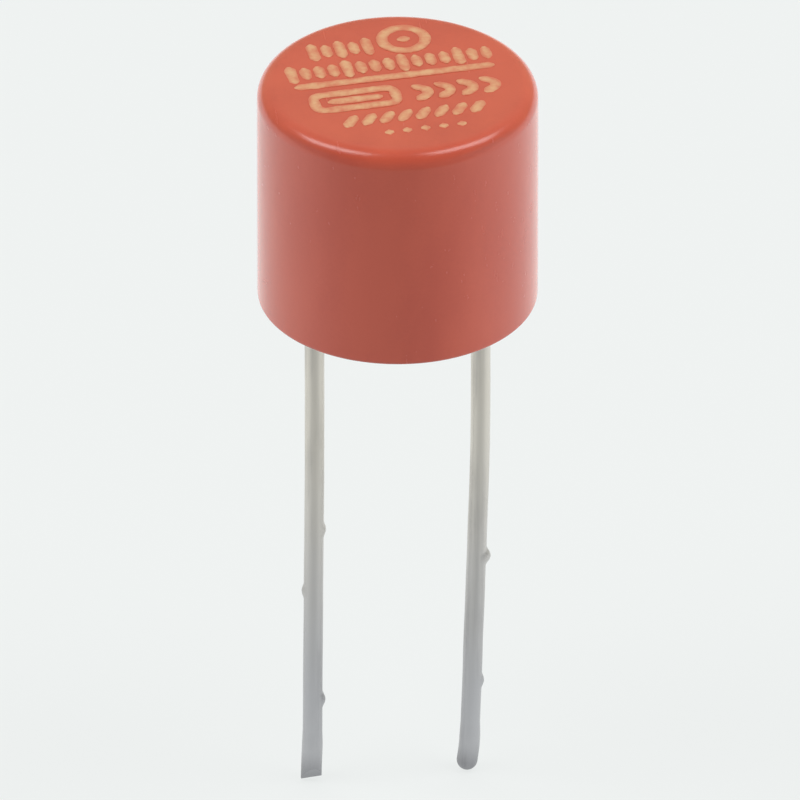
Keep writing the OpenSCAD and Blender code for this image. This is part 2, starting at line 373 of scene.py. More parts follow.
class Tree:
    """Adds nodes to one tree."""

    def __init__(self, tree):
        self.tree = tree

    def node(self, kind, settings=None, values=None):
        """Adds a node, sets it up, and fills its sockets with values or links. It gives the node's first
        output in use."""
        made = self.tree.nodes.new(kind)
        for name, value in (settings or {}).items():
            setattr(made, name, value)
        for key, value in (values or {}).items():
            socket = find_socket(made.inputs, key)
            if isinstance(value, Link):
                self.tree.links.new(value.socket, socket)
            else:
                socket.default_value = value
        outputs = [socket for socket in made.outputs if socket.enabled]
        return Link(self, outputs[0]) if outputs else None

    def math(self, operation, *values):
        return self.node("ShaderNodeMath", {"operation": operation}, dict(enumerate(values)))

    def vector_math(self, operation, *values):
        return self.node("ShaderNodeVectorMath", {"operation": operation}, dict(enumerate(values)))

    def vector(self, x, y, z):
        return self.node("ShaderNodeCombineXYZ", values={"X": x, "Y": y, "Z": z})

    def parts(self, vector):
        """The X, Y and Z of a vector."""
        split = self.node("ShaderNodeSeparateXYZ", values={"Vector": vector})
        return split, split.output("Y"), split.output("Z")

    def step(self, value, start, stop, low=0.0, high=1.0):
        """A smooth step from low to high as value goes from start to stop."""
        return self.node(
            "ShaderNodeMapRange",
            {"interpolation_type": "SMOOTHSTEP"},
            {"Value": value, "From Min": start, "From Max": stop, "To Min": low, "To Max": high},
        )

    def noise(self, place, scale, detail=2.0, rough=0.5, stretch=None):
        """Noise from 0 to 1; stretch is how densely it lies along X, Y and Z."""
        if stretch:
            place = self.vector_math("MULTIPLY", place, stretch)
        return self.node(
            "ShaderNodeTexNoise",
            values={"Vector": place, "Scale": scale, "Detail": detail, "Roughness": rough},
        )

    def mix(self, factor, low, high):
        """A number between two others."""
        return self.node("ShaderNodeMix", values={"Factor": factor, "A": low, "B": high})

    def tint(self, factor, low, high):
        """A colour between two others."""
        low, high = (value if isinstance(value, Link) else (*value, 1) for value in (low, high))
        return self.node("ShaderNodeMix", {"data_type": "RGBA"}, {"Factor": factor, "A": low, "B": high})

    def blend(self, factor, first, second):
        """A shader between two others."""
        return self.node("ShaderNodeMixShader", values={0: factor, 1: first, 2: second})

    def along(self, place, direction):
        """1 for a place that lies this way from the origin, 0 for one beside it, and -1 for one behind."""
        return self.vector_math("DOT_PRODUCT", self.vector_math("NORMALIZE", place), direction)

    def rays(self):
        """1 for rays that gloss sends on, and 1 for these, those from the camera and those through glass."""
        camera = self.node("ShaderNodeLightPath").output("Is Camera Ray")
        gloss = camera.output("Is Glossy Ray")
        glass = camera.output("Is Transmission Ray")
        return gloss, self.math("MAXIMUM", self.math("MAXIMUM", camera, gloss), glass)


# Materials

class Finish(Tree):
    """A material under construction, on a principled shader."""

    def __init__(self, name):
        self.material = bpy.data.materials.new(name)
        self.material.use_nodes = True
        super().__init__(self.material.node_tree)
        self.tree.nodes.clear()
        self.place = self.node("ShaderNodeTexCoord").output("Object")

    def pattern(self, **noise):
        """Noise that lies still on the piece."""
        return self.noise(self.place, **noise)

    def bump(self, height, depth, normal=None):
        """A normal from a height of 0 to 1, which stands for this depth in metres."""
        values = {"Height": height, "Distance": depth, "Strength": 1.0}
        if normal:
            values["Normal"] = normal
        return self.node("ShaderNodeBump", values=values)

    def done(self, values):
        """Ends the material in a principled shader with these values or links."""
        shader = self.node("ShaderNodeBsdfPrincipled", values=values)
        self.node("ShaderNodeOutputMaterial", values={"Surface": shader})
        return self.material


def darker(tones, part):
    """A colour that keeps this part of its light."""
    return tuple(tone * part for tone in tones)


def moulded_plastic(name, settings):
    """Red moulded plastic: faint flow marks, a slight orange peel and rubbed fine scratches."""
    finish = Finish(name)
    flow = finish.pattern(scale=420, detail=3, rough=0.55, stretch=(1, 1, 0.35))
    speckle = finish.pattern(scale=9000)
    marks = finish.step(flow * 0.85 + speckle * 0.15, start=0.35, stop=0.68)
    peel = finish.pattern(scale=2400, detail=1)
    grain = finish.pattern(scale=26000)
    scratches = finish.pattern(scale=5200, rough=0.6, stretch=(1, 0.07, 0.4))
    rubbed = finish.step(scratches, start=0.58, stop=0.78)
    roughness = settings.roughness + (flow - 0.5) * 0.1 + grain * 0.05 + rubbed * 0.05
    normal = finish.bump(peel, depth=settings.peel)
    normal = finish.bump(grain + rubbed * -0.6, depth=settings.peel * 0.06, normal=normal)
    return finish.done({
        "Base Color": finish.tint(marks, settings.plastic, settings.plastic_deep),
        "Roughness": roughness,
        "IOR": 1.56,
        "Normal": normal,
    })


def dipped_tin(leads):
    """Tin on drawn wire, with painted reflection: coloured brighter and warmer under the body and darker and
    cooler towards the tips, with dull marks, and darker and rougher near the lowest point.
    """
    finish = Finish("Dipped tin")
    _, _, z = finish.parts(finish.place)
    lowest = CAD_BOX[0].z
    streaks = finish.pattern(scale=5200, detail=3, rough=0.6, stretch=(1, 1, 0.035))
    clouds = finish.pattern(scale=900, detail=3, rough=0.55, stretch=(1, 1, 0.3))
    specks = finish.pattern(scale=14000, rough=0.6)
    # Painted reflection: the tin's colour goes from bright and warm under the body to dark and cool lower
    # down
    painted_dimming = finish.step(z + (clouds - 0.5) * 4 * MM, start=-3 * MM, stop=-15 * MM)
    tin = finish.tint(painted_dimming, leads.tin_painted_bright, leads.tin_painted_dim)
    # Near the lowest point the tin is made darker and rougher
    near_tip = finish.step(z + (clouds - 0.5) * 0.8 * MM, start=lowest + 1.1 * MM, stop=lowest)
    marks = finish.step(streaks * 0.55 + clouds * 0.45, start=0.44, stop=0.66)
    dull = marks * 0.28 + near_tip * 0.8
    pits = finish.step(specks, start=0.66, stop=0.8)
    tin = finish.tint(dull + pits * 0.15, tin, leads.tin_dull)
    normal = finish.bump(clouds, depth=0.012 * MM)
    normal = finish.bump(streaks - pits * 0.4, depth=0.003 * MM, normal=normal)
    return finish.done({
        "Base Color": tin,
        "Metallic": 1.0,
        "Roughness": leads.roughness + (clouds - 0.5) * 0.22 + dull * 0.12,
        "Normal": normal,
    })


def fibre_core(element):
    """Bundled glass fibre that runs along X."""
    finish = Finish("Glass fibre")
    strands = finish.pattern(scale=30000, rough=0.6, stretch=(0.04, 1, 1))
    dust = finish.pattern(scale=2500)
    shade = finish.tint(dust, element.fibre, darker(element.fibre, 0.8))
    return finish.done({
        "Base Color": finish.tint(strands * 0.5, shade, darker(element.fibre, 0.6)),
        "Roughness": 0.55 + strands * 0.2,
        "Normal": finish.bump(strands, depth=0.004 * MM),
    })


def silvered_wire(element):
    """Fine drawn wire with a thin silver coat."""
    finish = Finish("Silvered wire")
    tarnish = finish.pattern(scale=1800, detail=3)
    drawn = finish.pattern(scale=40000, detail=1)
    stained = finish.step(tarnish, start=0.45, stop=0.75) * 0.5
    return finish.done({
        "Base Color": finish.tint(stained, element.silver, element.tarnish),
        "Metallic": 1.0,
        "Roughness": 0.2 + tarnish * 0.15,
        "Normal": finish.bump(drawn, depth=0.0004 * MM),
    })


def set_solder(element):
    """Solder that set with a smooth skin and a few frosty patches."""
    finish = Finish("Solder")
    frost = finish.step(finish.pattern(scale=3800, detail=3, rough=0.6), start=0.45, stop=0.7)
    grain = finish.pattern(scale=22000)
    return finish.done({
        "Base Color": finish.tint(frost, element.solder, darker(element.solder, 0.75)),
        "Metallic": 1.0,
        "Roughness": 0.22 + frost * 0.25,
        "Normal": finish.bump(grain, depth=0.0012 * MM),
    })


def pad_print(settings):
    """Pale print that lets the red through where it lies thin, as it does along the edges of a stroke."""
    finish = Finish("Print")
    edge = finish.node("ShaderNodeAttribute", {"attribute_name": "edge"}).output("Fac")
    patches = finish.pattern(scale=2600, rough=0.6)
    grains = finish.pattern(scale=11000, rough=0.6)
    thin = finish.step(patches * 0.9 + grains * 0.3 + edge * edge * 0.3, start=0.37, stop=0.98)
    return finish.done({
        "Base Color": finish.tint(thin, settings.ink, settings.ink_thin),
        "Roughness": 0.42 + thin * 0.08,
        "Normal": finish.bump(grains, depth=0.0015 * MM),
    })


# Geometry trees

FLOAT = "NodeSocketFloat"
INTEGER = "NodeSocketInt"
POINT = "NodeSocketVector"
MATERIAL = "NodeSocketMaterial"
NUBS = ("First Nub", "Second Nub", "Third Nub")


class Recipe(Tree):
    """A geometry tree with named inputs, which ends in real geometry with one material."""

    def __init__(self, name, inputs):
        group = bpy.data.node_groups.new(name, "GeometryNodeTree")
        group.interface.new_socket("Geometry", in_out="INPUT", socket_type="NodeSocketGeometry")
        for label, kind in {**inputs, "Material": MATERIAL}.items():
            group.interface.new_socket(label, in_out="INPUT", socket_type=kind)
        group.interface.new_socket("Geometry", in_out="OUTPUT", socket_type="NodeSocketGeometry")
        super().__init__(group)
        self.start = self.node("NodeGroupInput")

    def __getitem__(self, name):
        """One of the tree's inputs."""
        return self.start.output(name)

    def position(self):
        """Where each point lies."""
        return self.node("GeometryNodeInputPosition")

    def circle(self, steps, radius):
        return self.node(
            "GeometryNodeCurvePrimitiveCircle", {"mode": "RADIUS"}, {"Resolution": steps, "Radius": radius}
        )

    def line(self, mesh):
        """A mesh of edges as a curve."""
        return self.node("GeometryNodeMeshToCurve", values={"Mesh": mesh})

    def fillet(self, curve, steps, radius):
        """A curve with its corners rounded."""
        return self.node("GeometryNodeFilletCurve", {"mode": "POLY"}, {
            "Curve": curve, "Count": steps, "Radius": radius, "Limit Radius": True,
        })

    def evenly(self, curve, step):
        """A curve with its points at even distances."""
        return self.node("GeometryNodeResampleCurve", {"mode": "LENGTH"}, {"Curve": curve, "Length": step})

    def sweep(self, curve, section, scale=1.0, caps=True):
        """A section swept along a curve."""
        return self.node("GeometryNodeCurveToMesh", values={
            "Curve": curve, "Profile Curve": section, "Scale": scale, "Fill Caps": caps,
        })

    def moved(self, geometry, **how):
        """Geometry with its points moved."""
        return self.node("GeometryNodeSetPosition", values={"Geometry": geometry, **how})

    def laid(self, geometry, **how):
        """Geometry moved or turned as a whole."""
        return self.node("GeometryNodeTransform", values={"Geometry": geometry, **how})

    def copied(self, places, piece, **how):
        """A piece on each of some places."""
        return self.node("GeometryNodeInstanceOnPoints", values={"Points": places, "Instance": piece, **how})

    def places(self, count, place):
        """A number of points."""
        return self.node("GeometryNodePoints", values={"Count": count, "Position": place})

    def end(self, geometry):
        """Ends the tree in real geometry with the tree's material."""
        real = self.node("GeometryNodeRealizeInstances", values={"Geometry": geometry})
        finished = self.node(
            "GeometryNodeSetMaterial", values={"Geometry": real, "Material": self["Material"]}
        )
        self.node("NodeGroupOutput", values={"Geometry": finished})
        return self.tree


def turned_form():
    """A section in the XZ plane, turned round the Z axis, and copied on a ring of places."""
    recipe = Recipe("Turned form", {
        "Segments": INTEGER, "Path Radius": FLOAT, "Copies": INTEGER, "Place Radius": FLOAT,
        "First Angle": FLOAT,
    })
    x, _, z = recipe.parts(recipe.position())
    section = recipe.moved(recipe["Geometry"], Position=recipe.vector(x - recipe["Path Radius"], -z, 0.0))
    path = recipe.circle(recipe["Segments"], recipe["Path Radius"])
    swept = recipe.sweep(path, recipe.line(section), caps=False)
    welded = recipe.node("GeometryNodeMergeByDistance", values={"Geometry": swept, "Distance": WELD})
    turn = recipe["First Angle"] + recipe.node("GeometryNodeInputIndex") * math.tau / recipe["Copies"]
    reach = recipe["Place Radius"]
    ring = recipe.vector(recipe.math("COSINE", turn) * reach, recipe.math("SINE", turn) * reach, 0.0)
    return recipe.end(recipe.copied(recipe.places(recipe["Copies"], ring), welded))


def wound_wire():
    """A round wire wound round the X axis."""
    recipe = Recipe("Wound wire", {
        "Coil Radius": FLOAT, "Wire Radius": FLOAT, "Half Length": FLOAT, "Turns": FLOAT,
        "Steps": INTEGER, "Sides": INTEGER, "Height": FLOAT,
    })
    half = recipe["Half Length"]
    helix = recipe.node("GeometryNodeCurveSpiral", values={
        "Resolution": recipe["Steps"], "Rotations": recipe["Turns"],
        "Start Radius": recipe["Coil Radius"], "End Radius": recipe["Coil Radius"],
        "Height": half * 2,
    })
    level = recipe.laid(
        helix, Rotation=(0, math.pi / 2, 0), Translation=recipe.vector(-half, 0.0, recipe["Height"])
    )
    return recipe.end(recipe.sweep(level, recipe.circle(recipe["Sides"], recipe["Wire Radius"])))


def drawn_lead():
    """Wire that follows a line of edges: round below the board, swaged square in its hole, and rolled
    to a blade above it. The thickness attribute of the line gives the radius of the round wire."""
    recipe = Recipe("Drawn lead", {
        "Sides": INTEGER, "Ring Step": FLOAT, "Bend Radius": FLOAT, "Axis": FLOAT,
        "Square Half": FLOAT, "Square From": FLOAT, "Blade From": FLOAT, "Blade Half": FLOAT,
        "Blade Width": FLOAT, "Blade Top": FLOAT, "Blade Chamfer": FLOAT,
        "Wander": FLOAT, "Ripple": FLOAT, "Seed": FLOAT,
        **{label: POINT for label in NUBS}, "Nub Radius": FLOAT, "Nub Height": FLOAT,
    })
    bent = recipe.fillet(recipe.line(recipe["Geometry"]), 8, recipe["Bend Radius"])
    rings = recipe.evenly(bent, recipe["Ring Step"])
    # The line wanders a little below the board, as hand-straightened wire does
    _, _, z = recipe.parts(recipe.position())
    loose = recipe.step(z, *WANDERING) * recipe["Wander"]
    sway, swing = (
        recipe.noise(recipe.vector(seed, 0.0, z), scale=260, detail=1) - 0.5
        for seed in (recipe["Seed"], recipe["Seed"] + 3)
    )
    wandering = recipe.moved(rings, Offset=recipe.vector(sway * loose, swing * loose, 0.0))
    thickness = recipe.node("GeometryNodeInputNamedAttribute", {"data_type": "FLOAT"}, {"Name": "thickness"})
    swept = recipe.sweep(wandering, recipe.circle(recipe["Sides"], 1.0), thickness)
    # Tin that ran and froze: a slow ripple all along, and small nubs
    place = recipe.position()
    ripple = recipe.noise(place, scale=1100, stretch=(1, 1, 0.4)) * recipe["Ripple"]
    swell = recipe["Ripple"] * -0.5
    for nub in NUBS:
        away = recipe.vector_math("DISTANCE", place, recipe[nub]).output("Value")
        swell = swell + recipe.step(away, recipe["Nub Radius"], 0.0) * recipe["Nub Height"]
    _, _, z = recipe.parts(place)
    lowest = CAD_BOX[0].z
    free = recipe.step(z, *RIPPLING) * recipe.step(z, lowest, lowest + RIPPLE_TIP)
    outwards = recipe.node("ShaderNodeVectorMath", {"operation": "SCALE"}, {
        "Vector": recipe.node("GeometryNodeInputNormal"), "Scale": (ripple + swell) * free,
    })
    tinned = recipe.moved(swept, Offset=outwards)
    # Above the board the round section goes over to a square, and above the tower to a flat blade
    x, y, z = recipe.parts(recipe.position())
    x = x - recipe["Axis"]
    never_zero = 1e-9
    radius = recipe.math("SQRT", x * x + y * y) + never_zero
    across, along = x / radius, y / radius
    squared = recipe.step(z, recipe["Square From"] - SWAGE, recipe["Square From"])
    rolled = recipe.step(z, recipe["Blade From"], recipe["Blade From"] + SWAGE)
    # A power of 2 gives a circle, and a high one a square with small rounds
    power = 2 + squared * 12
    corner = (abs(across) ** power + abs(along) ** power) ** (-1 / power)
    half = recipe.mix(squared, LEAD_RADIUS, recipe["Square Half"])
    chamfer = recipe.math("MAXIMUM", z - recipe["Blade Top"] + recipe["Blade Chamfer"], 0.0)
    half_x = recipe.mix(rolled, half, recipe["Blade Half"])
    half_y = recipe.mix(rolled, half, recipe["Blade Width"]) - chamfer
    # A point inside the round section would keep its share of the way out
    way_out = recipe.math("MINIMUM", radius / LEAD_RADIUS, 1.0)
    swaged = recipe.vector(
        across * corner * half_x * way_out + recipe["Axis"], along * corner * half_y * way_out, z
    )
    above = recipe.math("GREATER_THAN", z, recipe["Square From"] - SWAGE)
    return recipe.end(recipe.moved(tinned, Selection=above, Position=swaged))


def printed_row():
    """A mark, given as a line of edges, printed as strokes at even steps along a row."""
    recipe = Recipe("Printed row", {
        "Count": INTEGER, "Pitch": FLOAT, "Across": FLOAT, "Up": FLOAT, "Turn": FLOAT, "Top": FLOAT,
        "Every": INTEGER, "Short": FLOAT, "Corner": FLOAT, "Stroke": FLOAT, "Film": FLOAT, "Bleed": FLOAT,
    })
    soft = recipe.fillet(recipe.line(recipe["Geometry"]), 5, recipe["Corner"])
    index = recipe.node("GeometryNodeInputIndex")
    middle = (recipe["Count"] - 1) * 0.5
    along_row = recipe["Across"] + (index - middle) * recipe["Pitch"]
    places = recipe.places(recipe["Count"], recipe.vector(along_row, recipe["Up"], 0.0))
    # Every so many marks one is tall, and the others are short
    tall = recipe.math("COMPARE", recipe.math("MODULO", index, recipe["Every"]), 0.0, 0.1)
    height = recipe.mix(tall, recipe["Short"], 1.0)
    copies = recipe.copied(places, soft, Scale=recipe.vector(1.0, height, 1.0))
    row = recipe.laid(
        recipe.node("GeometryNodeRealizeInstances", values={"Geometry": copies}),
        Rotation=recipe.vector(0.0, 0.0, recipe["Turn"]),
        Translation=recipe.vector(0.0, 0.0, recipe["Top"]),
    )
    fine = recipe.evenly(row, STROKE_STEP)
    level = recipe.node("GeometryNodeSetCurveNormal", {"mode": "Z_UP"}, {"Curve": fine})
    wander = recipe.noise(recipe.position(), scale=3200) - 0.5
    # An open stroke ends round
    walked = recipe.node("GeometryNodeSplineParameter").output("Length")
    to_end = recipe.math("MINIMUM", walked, recipe.node("GeometryNodeSplineLength") - walked)
    width = recipe.step(to_end, start=recipe["Stroke"] * -0.1, stop=recipe["Stroke"] * 0.5, low=0.25)
    rounded = recipe.math("MAXIMUM", width, recipe.node("GeometryNodeInputSplineCyclic"))
    # The section hangs below the stroke's line, and its points carry how near they are to the stroke's
    # edge, which the ink's colour follows
    section = recipe.node("GeometryNodeSubdivideCurve", values={
        "Curve": recipe.node("GeometryNodeCurvePrimitiveQuadrilateral", {"mode": "RECTANGLE"}, {
            "Width": recipe["Stroke"], "Height": recipe["Film"],
        }),
        "Cuts": 3,
    })
    section = recipe.laid(section, Translation=recipe.vector(0.0, recipe["Film"] * 0.5, 0.0))
    x, _, _ = recipe.parts(recipe.position())
    section = recipe.node("GeometryNodeStoreNamedAttribute", {"data_type": "FLOAT", "domain": "POINT"}, {
        "Geometry": section, "Name": "edge", "Value": abs(x) * 2 / recipe["Stroke"],
    })
    return recipe.end(recipe.sweep(level, section, rounded + wander * recipe["Bleed"]))


def recipe_named(name, build):
    """The geometry tree of this name, which is built the first time that it is asked for."""
    return bpy.data.node_groups.get(name) or build()


# Meshes

def arc(centre_x, centre_z, radius, start, stop, steps):
    """Points on a round stretch of a section, from one angle in degrees to another."""
    turns = [math.radians(start + (stop - start) * i / steps) for i in range(steps + 1)]
    return [(centre_x + radius * math.cos(turn), centre_z + radius * math.sin(turn)) for turn in turns]


def line_mesh(name, points, closed=False):
    """A mesh of edges through points."""
    mesh = bpy.data.meshes.new(name)
    edges = [(i, i + 1) for i in range(len(points) - 1)]
    if closed:
        edges.append((len(points) - 1, 0))
    mesh.from_pydata(points, edges, [])
    return mesh


def section_mesh(name, points):
    """The half section of a turned form, from points given as (radius, height)."""
    return line_mesh(name, [(radius, 0, height) for radius, height in points])


def grow(name, mesh, group, values):
    """Runs a geometry tree on a mesh, and keeps what it makes as a plain mesh."""
    piece = bpy.data.objects.new(name, mesh)
    bpy.context.scene.collection.objects.link(piece)
    modifier = piece.modifiers.new("Form", "NODES")
    modifier.node_group = group
    for item in group.interface.items_tree:
        if item.in_out == "INPUT" and item.name in values:
            modifier[item.identifier] = values[item.name]
    return keep_evaluated(piece)


def keep_evaluated(piece):
    """Replaces a piece's mesh by what its modifiers make of it, and takes the modifiers off."""
    graph = bpy.context.evaluated_depsgraph_get()
    made = bpy.data.meshes.new_from_object(piece.evaluated_get(graph), depsgraph=graph)
    if not made.polygons:
        raise RuntimeError(f"{piece.name} came out with no faces")
    piece.modifiers.clear()
    piece.data = made
    return piece


def tidy_mesh(piece, weld=WELD):
    """Welds a piece's doubles, turns its faces outwards, and shades it smooth between sharp edges."""
    work = bmesh.new()
    work.from_mesh(piece.data)
    bmesh.ops.remove_doubles(work, verts=work.verts, dist=weld)
    bmesh.ops.recalc_face_normals(work, faces=work.faces)
    work.to_mesh(piece.data)
    work.free()
    piece.data.shade_smooth()
    piece.data.set_sharp_from_angle(angle=SHARP)
    return piece


def turned(name, points, material, path_radius, segments, copies=1, place_radius=0.0, first_angle=0.0):
    """A turned form, or a ring of copies of it."""
    return grow(name, section_mesh(name, points), recipe_named("Turned form", turned_form), {
        "Segments": segments, "Path Radius": path_radius, "Copies": copies,
        "Place Radius": place_radius, "First Angle": first_angle, "Material": material,
    })


def prism(name, outline, depth, material):
    """An outline in the XZ plane, drawn out along Y to both sides of it."""
    work = bmesh.new()
    near = [work.verts.new((x, -depth / 2, z)) for x, z in outline]
    far = [work.verts.new((x, depth / 2, z)) for x, z in outline]
    work.faces.new(near)
    work.faces.new(far)
    for i in range(len(outline)):
        after = (i + 1) % len(outline)
        work.faces.new((near[i], near[after], far[after], far[i]))
    bmesh.ops.recalc_face_normals(work, faces=work.faces)
    mesh = bpy.data.meshes.new(name)
    work.to_mesh(mesh)
    work.free()
    mesh.materials.append(material)
    piece = bpy.data.objects.new(name, mesh)
    bpy.context.scene.collection.objects.link(piece)
    return piece


def join_or_cut(piece, tools, operation):
    """Joins tools to a piece, or cuts them out of it, and removes them."""
    for part in (piece, *tools):
        tidy_mesh(part)
    for tool in tools:
        modifier = piece.modifiers.new("Tool", "BOOLEAN")
        modifier.operation = operation
        modifier.solver = "EXACT"
        modifier.object = tool
    keep_evaluated(piece)
    for tool in tools:
        bpy.data.objects.remove(tool)


def settle(piece, slot, *nodes):
    """Lets a finished piece ride on the fuse, and hides the solids that it is drawn in place of."""
    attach(piece, BODY)
    if nodes:
        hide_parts(*nodes)


# Pieces

def snap(base, wall, out):
    """The snap's outline on a wall of this radius, going up."""
    middle = BASE_LOW.z + base.foot + base.bead_height
    return [
        (wall, middle - base.bead_half), (wall + out, middle - base.bead_flat),
        (wall + out, middle + base.bead_flat), (wall, middle + base.bead_half),
    ]


def cap_section(cap, base):
    """The cap's half section, from the middle of its top round to the middle of its ceiling."""
    radius, top, rim = CAP_HIGH.x, CAP_HIGH.z, CAP_LOW.z
    edge, bore, ceiling = cap.top_edge, radius - cap.side_wall, top - cap.top_wall
    shoulder = BASE_LOW.z + base.foot + base.flange
    flat = radius - edge
    steps = 8
    dish = [(flat * i / steps, top - cap.sink * (1 - (i / steps) ** 2)) for i in range(steps)]
    return [
        *dish,
        (flat - NEAR, top),
        *arc(flat, top - edge, edge, 90, 0, 14),
        (radius, top - edge - NEAR),
        (radius, rim + cap.rim_round + NEAR),
        *arc(radius - cap.rim_round, rim + cap.rim_round, cap.rim_round, 0, -90, 6),
        (cap.mouth + cap.lead_in, rim),
        (cap.mouth, rim + cap.lead_in),
        *snap(base, cap.mouth, base.bead_out + base.slack),
        (cap.mouth, shoulder),
        (bore, shoulder),
        (bore, ceiling - cap.ceiling_edge - NEAR),
        *arc(bore - cap.ceiling_edge, ceiling - cap.ceiling_edge, cap.ceiling_edge, 0, 90, 8),
        (bore - cap.ceiling_edge - NEAR, ceiling),
        (0, ceiling),
    ]


def shell_section(cap, base):
    """The base's half section, from the sunken mark of its gate round to the middle of its floor."""
    under = BASE_LOW.z + base.foot
    flange = cap.mouth - base.slack
    skirt = CAP_HIGH.x - cap.side_wall - base.slack
    inner = skirt - base.skirt_wall
    edge, deep = base.edge_round, under + base.gate_depth
    return [
        (0, deep),
        (base.gate_radius - edge, deep),
        (base.gate_radius, under),
        *arc(flange - edge, under + edge, edge, -90, 0, 5),
        *snap(base, flange, base.bead_out),
        (flange, under + base.flange),
        (skirt, under + base.flange),
        (skirt, under + base.flange + base.skirt),
        (inner, under + base.flange + base.skirt),
        (inner, under + base.floor),
        (0, under + base.floor),
    ]


def floor_middle(base):
    """The height of the middle of the base's floor, where what stands on the floor begins."""
    return BASE_LOW.z + base.foot + base.floor / 2


def tower_section(base):
    """A tower's half section, from inside the floor up to its top."""
    root = floor_middle(base)
    return [
        (0, root), (base.tower_radius, root), (base.tower_radius, base.tower_top - base.tower_edge),
        (base.tower_radius - base.tower_edge, base.tower_top), (0, base.tower_top),
    ]


def foot_section(base):
    """A foot's half section, from the board up into the floor."""
    low, root = BASE_LOW.z, floor_middle(base)
    edge, radius = base.edge_round, base.foot_radius
    wider = base.foot_draft * (root - low - edge) / (base.foot - edge)
    return [
        (0, low), *arc(radius - edge, low + edge, edge, -90, 0, 4), (radius + wider, root), (0, root),
    ]


def hole_section(base):
    """The half section of a lead's hole, with its countersink, which runs on past the underside."""
    under = BASE_LOW.z + base.foot
    wider = OVER * (base.sink_radius - base.hole) / base.sink_depth
    return [
        (0, under - OVER), (base.sink_radius + wider, under - OVER), (base.hole, under + base.sink_depth),
        (base.hole, base.tower_top + OVER), (0, base.tower_top + OVER),
    ]


def gussets(base, material):
    """Sloping walls that stiffen the towers, three to each. They start in the tower's wall and end in the
    floor."""
    root = floor_middle(base)
    floor = root + base.floor / 2
    inside, high = base.tower_radius * 0.7, base.tower_top - base.gusset_drop
    foot = base.tower_radius + base.gusset * (high - root) / (high - floor)
    outline = [(inside, root), (foot, root), (base.tower_radius, high), (inside, high)]
    made = []
    for side in (-1, 1):
        place = Matrix.Translation((side * LEAD_X, 0, 0))
        inwards = 180 if side > 0 else 0
        for turn in (90, inwards, 270):
            wall = prism("gusset", outline, base.gusset_wall, material)
            wall.data.transform(place @ Matrix.Rotation(math.radians(turn), 4, "Z"))
            made.append(wall)
    return made


def lead_line(lead, leads, element, side):
    """A lead's centre line as (point, radius) from its blade's top to where its end begins, and its heading
    there."""
    axis = side * LEAD_X
    wire, tip = LEAD_RADIUS, leads.tip_radius
    middle = lead.below - leads.straight - 2 * leads.bend_step - leads.tip_length
    end = tip if lead.domed else leads.pinch_length
    # Each stretch as (length, radius at its end, turn after it)
    stretches = [
        (leads.straight, wire, lead.lean / 3),
        (leads.bend_step, wire, lead.lean / 3),
        (leads.bend_step, wire, lead.lean / 3),
        (middle, wire, 0),
        (leads.tip_cone, tip, 0),
        (leads.tip_length - leads.tip_cone - lead.kink_length, tip, lead.kink),
        (lead.kink_length - end, tip, 0),
    ]
    point, heading = Vector((axis, 0, 0)), 0
    line = [(Vector((axis, 0, element.height + leads.blade_above)), wire), (point, wire)]
    for stretch, radius, turn in stretches:
        point = point + stretch * downwards(heading)
        line.append((point, radius))
        heading += turn
    return line, heading


def downwards(heading):
    """Straight down, turned by an angle towards -X."""
    return Vector((-math.sin(heading), 0, -math.cos(heading)))


def end_line(lead, leads, start, heading):
    """The rest of a lead's line: a dome, or a straight end that is long enough to be pinched off."""
    down, tip = downwards(heading), leads.tip_radius
    if not lead.domed:
        return [(start + 2 * leads.pinch_length * down, tip)]
    turns = [math.radians(15 * step) for step in range(1, 7)]
    return [(start + math.sin(turn) * tip * down, math.cos(turn) * tip) for turn in turns]


def trim(work, place, normal):
    """Takes off what lies past a plane, and closes the cut."""
    every = work.verts[:] + work.edges[:] + work.faces[:]
    cut_through = bmesh.ops.bisect_plane(
        work, geom=every, plane_co=place, plane_no=normal.normalized(), clear_outer=True
    )["geom_cut"]
    rim = [part for part in cut_through if isinstance(part, bmesh.types.BMEdge)]
    bmesh.ops.contextual_create(work, geom=rim)


def pinch_end(piece, leads, start, heading):
    """Slopes a lead's end off in front and behind, down to a blunt edge, as cutters leave it."""
    down = downwards(heading - leads.pinch_turn)
    edge = start + leads.pinch_length * down
    inset = leads.tip_radius + PINCH_OUT - leads.pinch_edge / 2
    work = bmesh.new()
    work.from_mesh(piece.data)
    trim(work, edge, down)
    for side in (-1, 1):
        outwards = Vector((0, side, 0))
        trim(work, edge + leads.pinch_edge / 2 * outwards, leads.pinch_length * outwards + inset * down)
    work.to_mesh(piece.data)
    work.free()


def notch_outline(element):
    """The notch in a blade's top that takes the element: round below, with straight sides above."""
    radius = element.core_radius + element.wire_gap + 2 * element.wire_radius + NOTCH_GAP
    high = element.height + NOTCH_HIGH
    return [*arc(0, element.height, radius, 180, 360, 16), (radius, high), (-radius, high)]


def bar(half_x, half_y=0):
    """A straight stroke through the middle of a mark."""
    return [(-half_x, -half_y), (half_x, half_y)]


# Operators

class BuildCap(bpy.types.Operator):
    """Turn the moulded cap from its half section"""

    bl_idname = "radial_fuse.build_cap"
    bl_label = "Cap"

    def execute(self, context):
        fuse = context.scene.radial_fuse
        material = moulded_plastic("Gloss moulding", fuse.cap)
        section = cap_section(fuse.cap, fuse.base)
        piece = turned("cap_shell", section, material, CAP_HIGH.x, fuse.cap.segments)
        settle(tidy_mesh(piece), "cap_plastic", "cap")
        return {"FINISHED"}


